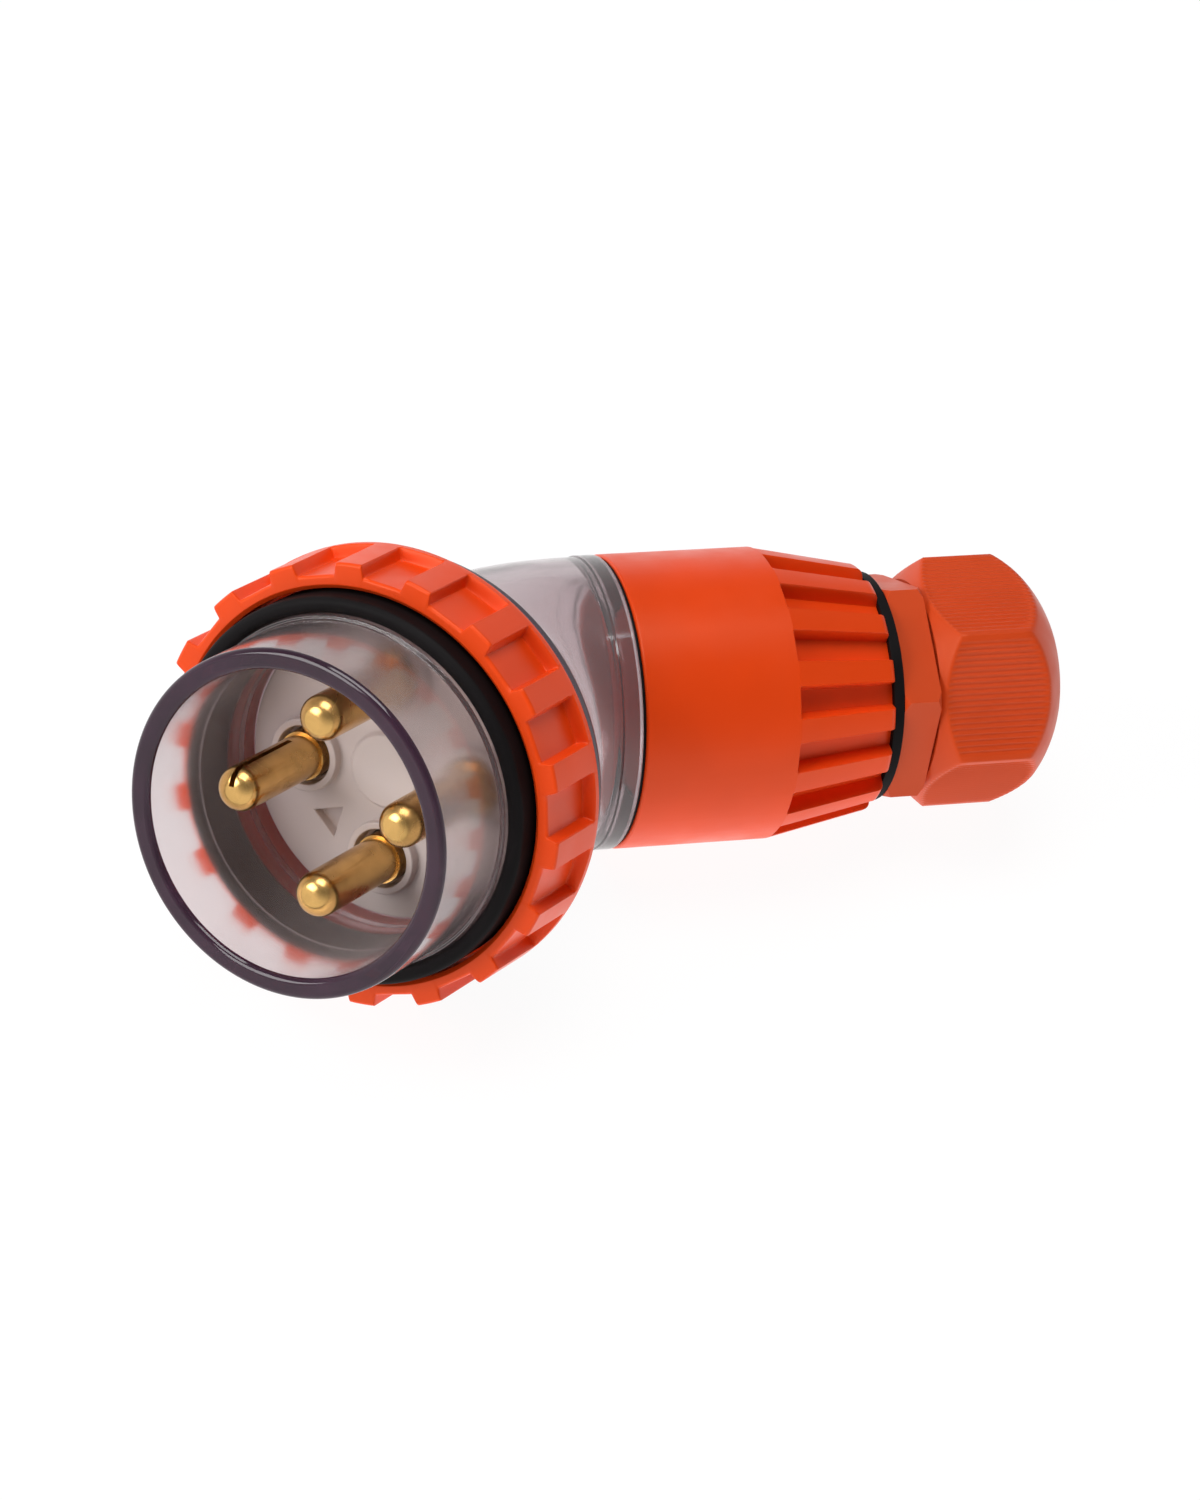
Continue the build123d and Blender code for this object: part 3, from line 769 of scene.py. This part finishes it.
class PLUG_OT_elbow(Operator):
    """Build the clear elbow along its bent centre line"""

    bl_idname = "plug.elbow"
    bl_label = "Clear elbow"

    def execute(self, context):
        sizes = context.scene.plug_sizes
        edge = sizes.edge_round
        bend_radius = sizes.elbow_radius
        tangent = bend_radius * tan(bend_angle / 2)
        corner_back = (tail.translation - head.translation).length

        # Distances back along the centre line, from the pin face
        bend_from = corner_back - tangent
        bend_to = bend_from + bend_radius * bend_angle
        collar_back = bend_to + joint_gasket.front - sizes.gasket_line - tangent
        collar_front = collar_back - sizes.collar_width
        front = -flange.front
        floor = -gasket.back
        spigot_outer = barrel.outer - sizes.barrel_wall - sizes.slip_gap
        spigot_inner = spigot_outer - sizes.spigot_wall
        bore = spigot_outer - 2 * sizes.slip_gap
        outer = bore + sizes.elbow_wall
        bend_steps = 48
        bends = [bend_from + (bend_to - bend_from) * step / bend_steps for step in range(bend_steps + 1)]
        corners = [(front, flange.outer, sizes.flange_round)]
        corners += [(front + sizes.flange_clear, flange.outer, 0)]
        corners += [(front + sizes.elbow_flange, flange.outer, sizes.flange_round)]
        corners += [(front + sizes.elbow_flange, outer + sizes.elbow_flare, sizes.flare_round)]
        corners += [(back, outer, 0) for back in bends]
        corners += [(collar_front, outer, 0)]
        corners += [(collar_front + edge, barrel.outer, 0)]
        corners += [(collar_back, barrel.outer, edge)]
        corners += [(collar_back, spigot_outer, 0)]
        corners += [(collar_back + sizes.spigot_length, spigot_outer, edge)]
        corners += [(collar_back + sizes.spigot_length, spigot_inner, edge)]
        corners += [(collar_back, spigot_inner, 0)]
        corners += [(collar_front, bore, 0)]
        corners += [(back, bore, 0) for back in reversed(bends)]
        corners += [(floor, bore, edge)]
        corners += [(floor, gasket.outer + sizes.slip_gap, edge)]
        corners += [(front, gasket.outer + sizes.slip_gap, edge)]
        section = rounded(corners)

        bend_centre = head.translation - pin_way * bend_from + elbow_side * bend_radius
        columns = 160
        slices = []
        for column in range(columns):
            turn = 2 * pi * column / columns
            points = []
            for back, radius in section:
                swing = min(max((back - bend_from) / bend_radius, 0.0), bend_angle)
                inward = elbow_side * cos(swing) + pin_way * sin(swing)
                onward = elbow_side * sin(swing) - pin_way * cos(swing)
                straight = back - min(max(back, bend_from), bend_to)
                centre = bend_centre - inward * bend_radius + onward * straight
                points.append(centre + inward * radius * cos(turn) + elbow_up * radius * sin(turn))
            slices.append(points)
        piece = new_object("clear_elbow", *skin(slices, True))
        finish_piece(piece, None, "plug_body", "clear_plastic", "angled_housing")

        # The rear of the flange's edge gets the same painted dark violet shade as the shroud's rim
        to_head = head.inverted()
        flange_shade_mask = []
        for face in piece.data.polygons:
            points = [to_head @ piece.data.vertices[i].co for i in face.vertices]
            behind = max(point.z for point in points) < flange.front - sizes.flange_clear + touch
            ahead = min(point.z for point in points) > flange.front - sizes.elbow_flange - edge
            wide = min(hypot(point.x, point.y) for point in points) > flange.outer - edge
            flange_shade_mask.append(behind and ahead and wide)
        piece.data.materials.append(materials["clear_edge"])
        piece.data.polygons.foreach_set("material_index", flange_shade_mask)
        return {"FINISHED"}


class PLUG_OT_barrel(Operator):
    """Build the barrel from one groove and half of the land at each side"""

    bl_idname = "plug.barrel"
    bl_label = "Fluted barrel"

    def execute(self, context):
        sizes = context.scene.plug_sizes
        edge = sizes.edge_round
        groove_from = barrel.back + sizes.barrel_plain
        bore = barrel.outer - sizes.barrel_wall
        chamfer = sizes.barrel_end_round
        cavity_end = sizes.barrel_end - sizes.groove_depth - sizes.barrel_wall
        half_floor = (sizes.groove_width / 2 - draft_in * sizes.groove_draft) / barrel.outer
        half_top = (sizes.groove_width / 2 + draft_out * sizes.groove_draft) / barrel.outer

        def land(z):
            """Radius of the lands."""
            share = max(z - groove_from, 0) / (barrel.front - chamfer - groove_from)
            return barrel.outer + (sizes.barrel_end - barrel.outer) * min(share, 1.0)

        def groove_floor(z):
            """Radius of the groove's floor."""
            share = (z - groove_from) / (barrel.front - groove_from)
            return barrel.outer - sizes.groove_depth + (sizes.barrel_end - barrel.outer) * share

        # Section points are station, radius and the share of the groove's depth that they take
        inner = rounded([
            (barrel.front, barrel.inner, edge),
            (barrel.front - sizes.barrel_end_wall, barrel.inner, 0),
            (barrel.front - sizes.barrel_end_wall, cavity_end, 0),
            (groove_from - sizes.barrel_wall - sizes.groove_depth, bore, 0),
            (barrel.back, bore, edge),
            (barrel.back, barrel.outer, sizes.barrel_front),
            (barrel.front, barrel.outer, 0),
        ])[:-1]
        section = [(point.x, point.y, 0.0) for point in inner]
        for step in range(wall_steps + 1):
            share = step / wall_steps
            station = groove_from + sizes.groove_draft * (share - draft_out)
            section.append((station, land(station), ease(share)))
        run_steps = 6
        run_to = barrel.front - chamfer
        for step in range(1, run_steps + 1):
            station = groove_from + 2 * sizes.groove_draft
            station += (run_to - station) * step / run_steps
            section.append((station, land(station), 1.0))
        for step in range(1, arc_steps + 1):
            swing = pi / 2 * step / arc_steps
            end_radius = sizes.barrel_end - chamfer * (1 - cos(swing))
            section.append((run_to + chamfer * sin(swing), end_radius, 1.0))

        slices = []
        for turn in channel_angles(pi / sizes.groove_count, half_floor, half_top):
            depth = 1 - ease((abs(turn) - half_floor) / (half_top - half_floor))
            points = []
            for z, r, share in section:
                low = min(r, groove_floor(z) / cos(turn))
                points.append(around(turn, z, r - share * depth * (r - low)))
            slices.append(points)
        count = sizes.groove_count
        piece = repeated("fluted_barrel", slices, count, sizes.groove_turn, "orange_plastic")
        finish_piece(piece, tail, "plug_body", "orange_plastic", "barrel")
        return {"FINISHED"}


class PLUG_OT_gland(Operator):
    """Build the gland's body and its ribbed dome nut"""

    bl_idname = "plug.gland"
    bl_label = "Cable gland"

    def execute(self, context):
        sizes = context.scene.plug_sizes
        softened("gland_body", "gland_plastic", sizes.gland_edge, steps=3)

        body_from = nut.back + sizes.nut_chamfer
        body_to = body_from + sizes.nut_body
        flat = nut.outer * cos(pi / nut_sides)

        # Dome: an arc over the chord from the flats' end to the nut's end
        chord = Vector((nut.front - body_to, sizes.nut_end - nut.outer))
        bulge = sizes.nut_bulge
        radius = (chord.length ** 2 / 4 + bulge ** 2) / (2 * bulge)
        across = Vector((-chord.y, chord.x)).normalized()
        centre = Vector((body_to, nut.outer)) + chord / 2 + across * (bulge - radius)
        first = Vector((body_to, nut.outer)) - centre
        last = Vector((nut.front, sizes.nut_end)) - centre
        turn_from = atan2(first.y, first.x)
        turn_to = atan2(last.y, last.x)

        # Outline of the round blank, from the front edge back
        outline = []
        front_steps = 10
        body_steps = 8
        dome_steps = 18
        for step in range(front_steps + 1):
            share = step / front_steps
            outline.append((nut.back + sizes.nut_chamfer * share,
                            sizes.nut_front + (nut.outer - sizes.nut_front) * share))
        for step in range(1, body_steps):
            outline.append((body_from + sizes.nut_body * step / body_steps, nut.outer))
        for step in range(dome_steps + 1):
            turn = turn_from + (turn_to - turn_from) * step / dome_steps
            outline.append((centre.x + radius * cos(turn), centre.y + radius * sin(turn)))
        inside = [
            (nut.front, nut.inner),
            (nut.front - sizes.nut_end_wall, nut.inner),
            (nut.back + sizes.nut_thread, sizes.nut_bore),
            (nut.back, sizes.nut_bore),
        ]

        # One flat: the lower of the flat and the round blank, with a soft edge where they meet
        soft = sizes.nut_edge
        half_side = nut.outer * sin(pi / nut_sides)
        columns_per_rib = 6
        column_steps = columns_per_rib * sizes.rib_count
        slices = []
        for column in range(column_steps + 1):
            sideways = half_side * (2 * column / column_steps - 1)
            turn = atan(sideways / flat)
            side = flat / cos(turn)
            margin = ease((half_side - abs(sideways)) / sizes.rib_margin)
            wave = 0.5 - 0.5 * cos(2 * pi * column / columns_per_rib)
            points = []
            for z, r in outline:
                near = max(soft - abs(side - r), 0) / soft
                low = min(side, r) - near * near * soft / 4
                grip = ease((r - side) / sizes.rib_fade) * margin
                points.append(around(turn, z, low - sizes.rib_depth * grip * wave))
            points += [around(turn, z, r) for z, r in inside]
            slices.append(points)
        piece = repeated("dome_nut", slices, nut_sides, sizes.nut_turn, "gland_plastic")
        finish_piece(piece, tail, "gland_nut", "gland_plastic", "gland_nut")
        return {"FINISHED"}


def seen_directly(tree):
    """Socket that is 1 for what the camera, a reflection or clear plastic shows."""
    path = add(tree, "ShaderNodeLightPath").outputs
    mirrored = add(tree, "ShaderNodeMath", {
        0: path["Is Camera Ray"], 1: path["Is Glossy Ray"],
    }, operation="MAXIMUM")
    return add(tree, "ShaderNodeMath", {
        0: mirrored.outputs["Value"], 1: path["Is Transmission Ray"],
    }, operation="MAXIMUM").outputs["Value"]


def lamp(name, power, size, aim, offset):
    """A square soft light that looks at the plug."""
    data = bpy.data.lights.new(name, "AREA")
    data.energy = power
    data.size = size
    light = bpy.data.objects.new(name, data)
    bpy.context.scene.collection.objects.link(light)
    light.location = aim + offset
    light.rotation_euler = (-offset).to_track_quat("-Z", "Y").to_euler()


class PLUG_OT_stage(Operator):
    """Set the floor, the light and the camera"""

    bl_idname = "plug.stage"
    bl_label = "Floor, light and camera"

    def execute(self, context):
        scene = context.scene
        stage = scene.plug_stage
        floor_colour = (*scene.plug_colours.floor, 1)
        scene.view_settings.view_transform = "Standard"

        half_floor = 3.0
        low = solid_box[0][2]
        floor = new_object("floor", [
            (-half_floor, -half_floor, low), (half_floor, -half_floor, low),
            (half_floor, half_floor, low), (-half_floor, half_floor, low),
        ], [(0, 1, 2, 3)])
        material = bare_material("white_floor")
        tree = material.node_tree
        seen = seen_directly(tree)
        white = 0.9
        plain = add(tree, "ShaderNodeBsdfDiffuse", {"Color": (white, white, white, 1)})
        strength = spread(tree, seen, 0.0, 1.0, stage.bounce, stage.floor_white)
        glow = add(tree, "ShaderNodeEmission", {"Color": floor_colour, "Strength": strength})
        mixed = add(tree, "ShaderNodeMixShader", {
            0: stage.floor_glow, 1: plain.outputs["BSDF"], 2: glow.outputs["Emission"],
        })
        add(tree, "ShaderNodeOutputMaterial", {"Surface": mixed.outputs["Shader"]})
        floor.data.materials.append(material)

        world = bpy.data.worlds.new("studio")
        world.use_nodes = True
        tree = world.node_tree
        tree.nodes.clear()
        seen = seen_directly(tree)
        way = add(tree, "ShaderNodeTexCoord").outputs["Generated"]
        height = add(tree, "ShaderNodeSeparateXYZ", {0: way}).outputs["Z"]
        ceiling_from = 0.6  # of the way from level to straight up
        ceiling = spread(tree, height, 0.0, ceiling_from, 1.0, stage.ceiling)
        behind = add(tree, "ShaderNodeLightPath").outputs["Is Camera Ray"]
        strength = add(tree, "ShaderNodeMath", {0: ceiling, 1: behind}, operation="MAXIMUM")
        soft = add(tree, "ShaderNodeBackground", {"Color": (1, 1, 1, 1), "Strength": stage.ambient})
        bright = add(tree, "ShaderNodeBackground", {
            "Color": floor_colour, "Strength": strength.outputs["Value"],
        })
        mixed = add(tree, "ShaderNodeMixShader", {
            0: seen, 1: soft.outputs["Background"], 2: bright.outputs["Background"],
        })
        add(tree, "ShaderNodeOutputWorld", {"Surface": mixed.outputs["Shader"]})
        scene.world = world

        aim = Vector(stage.aim)
        lamp("key", stage.key, stage.key_size, aim, Vector(stage.key_place))
        lamp("fill", stage.fill, stage.fill_size, aim, Vector(stage.fill_place))

        view = bpy.data.objects.new("camera", bpy.data.cameras.new("camera"))
        scene.collection.objects.link(view)
        view.data.lens = stage.lens
        view.data.clip_start = 0.01
        back = Vector((
            sin(stage.azimuth) * cos(stage.elevation),
            -cos(stage.azimuth) * cos(stage.elevation),
            sin(stage.elevation),
        ))
        view.location = aim + back * stage.distance
        upright = (-back).to_track_quat("-Z", "Y")
        view.rotation_mode = "QUATERNION"
        view.rotation_quaternion = upright @ Quaternion((0, 0, 1), stage.roll)
        scene.camera = view
        return {"FINISHED"}


class PLUG_PT_panel(Panel):
    """Sizes, colours and the steps that build the plug"""

    bl_idname = "PLUG_PT_panel"
    bl_label = "Angled plug"
    bl_space_type = "VIEW_3D"
    bl_region_type = "UI"
    bl_category = "Plug"

    def draw(self, context):
        for step in steps:
            self.layout.operator(step.bl_idname)
        for group in (context.scene.plug_sizes, context.scene.plug_colours, context.scene.plug_stage):
            box = self.layout.box()
            for name in group.__annotations__:
                box.prop(group, name)


steps = (
    PLUG_OT_shroud, PLUG_OT_contacts, PLUG_OT_seals, PLUG_OT_ring,
    PLUG_OT_elbow, PLUG_OT_barrel, PLUG_OT_gland, PLUG_OT_stage,
)
groups = {"plug_sizes": PlugSizes, "plug_colours": PlugColours, "plug_stage": PlugStage}


def register():
    for cls in (*groups.values(), *steps, PLUG_PT_panel):
        bpy.utils.register_class(cls)
    for name, group in groups.items():
        setattr(bpy.types.Scene, name, PointerProperty(type=group))


def unregister():
    for name in groups:
        delattr(bpy.types.Scene, name)
    for cls in (PLUG_PT_panel, *reversed(steps), *groups.values()):
        bpy.utils.unregister_class(cls)


def main():
    register()
    make_materials(bpy.context.scene.plug_colours)
    bpy.ops.plug.shroud()
    bpy.ops.plug.contacts()
    bpy.ops.plug.seals()
    bpy.ops.plug.ring()
    bpy.ops.plug.elbow()
    bpy.ops.plug.barrel()
    bpy.ops.plug.gland()
    bpy.ops.plug.stage()


if __name__ == "__main__":
    main()
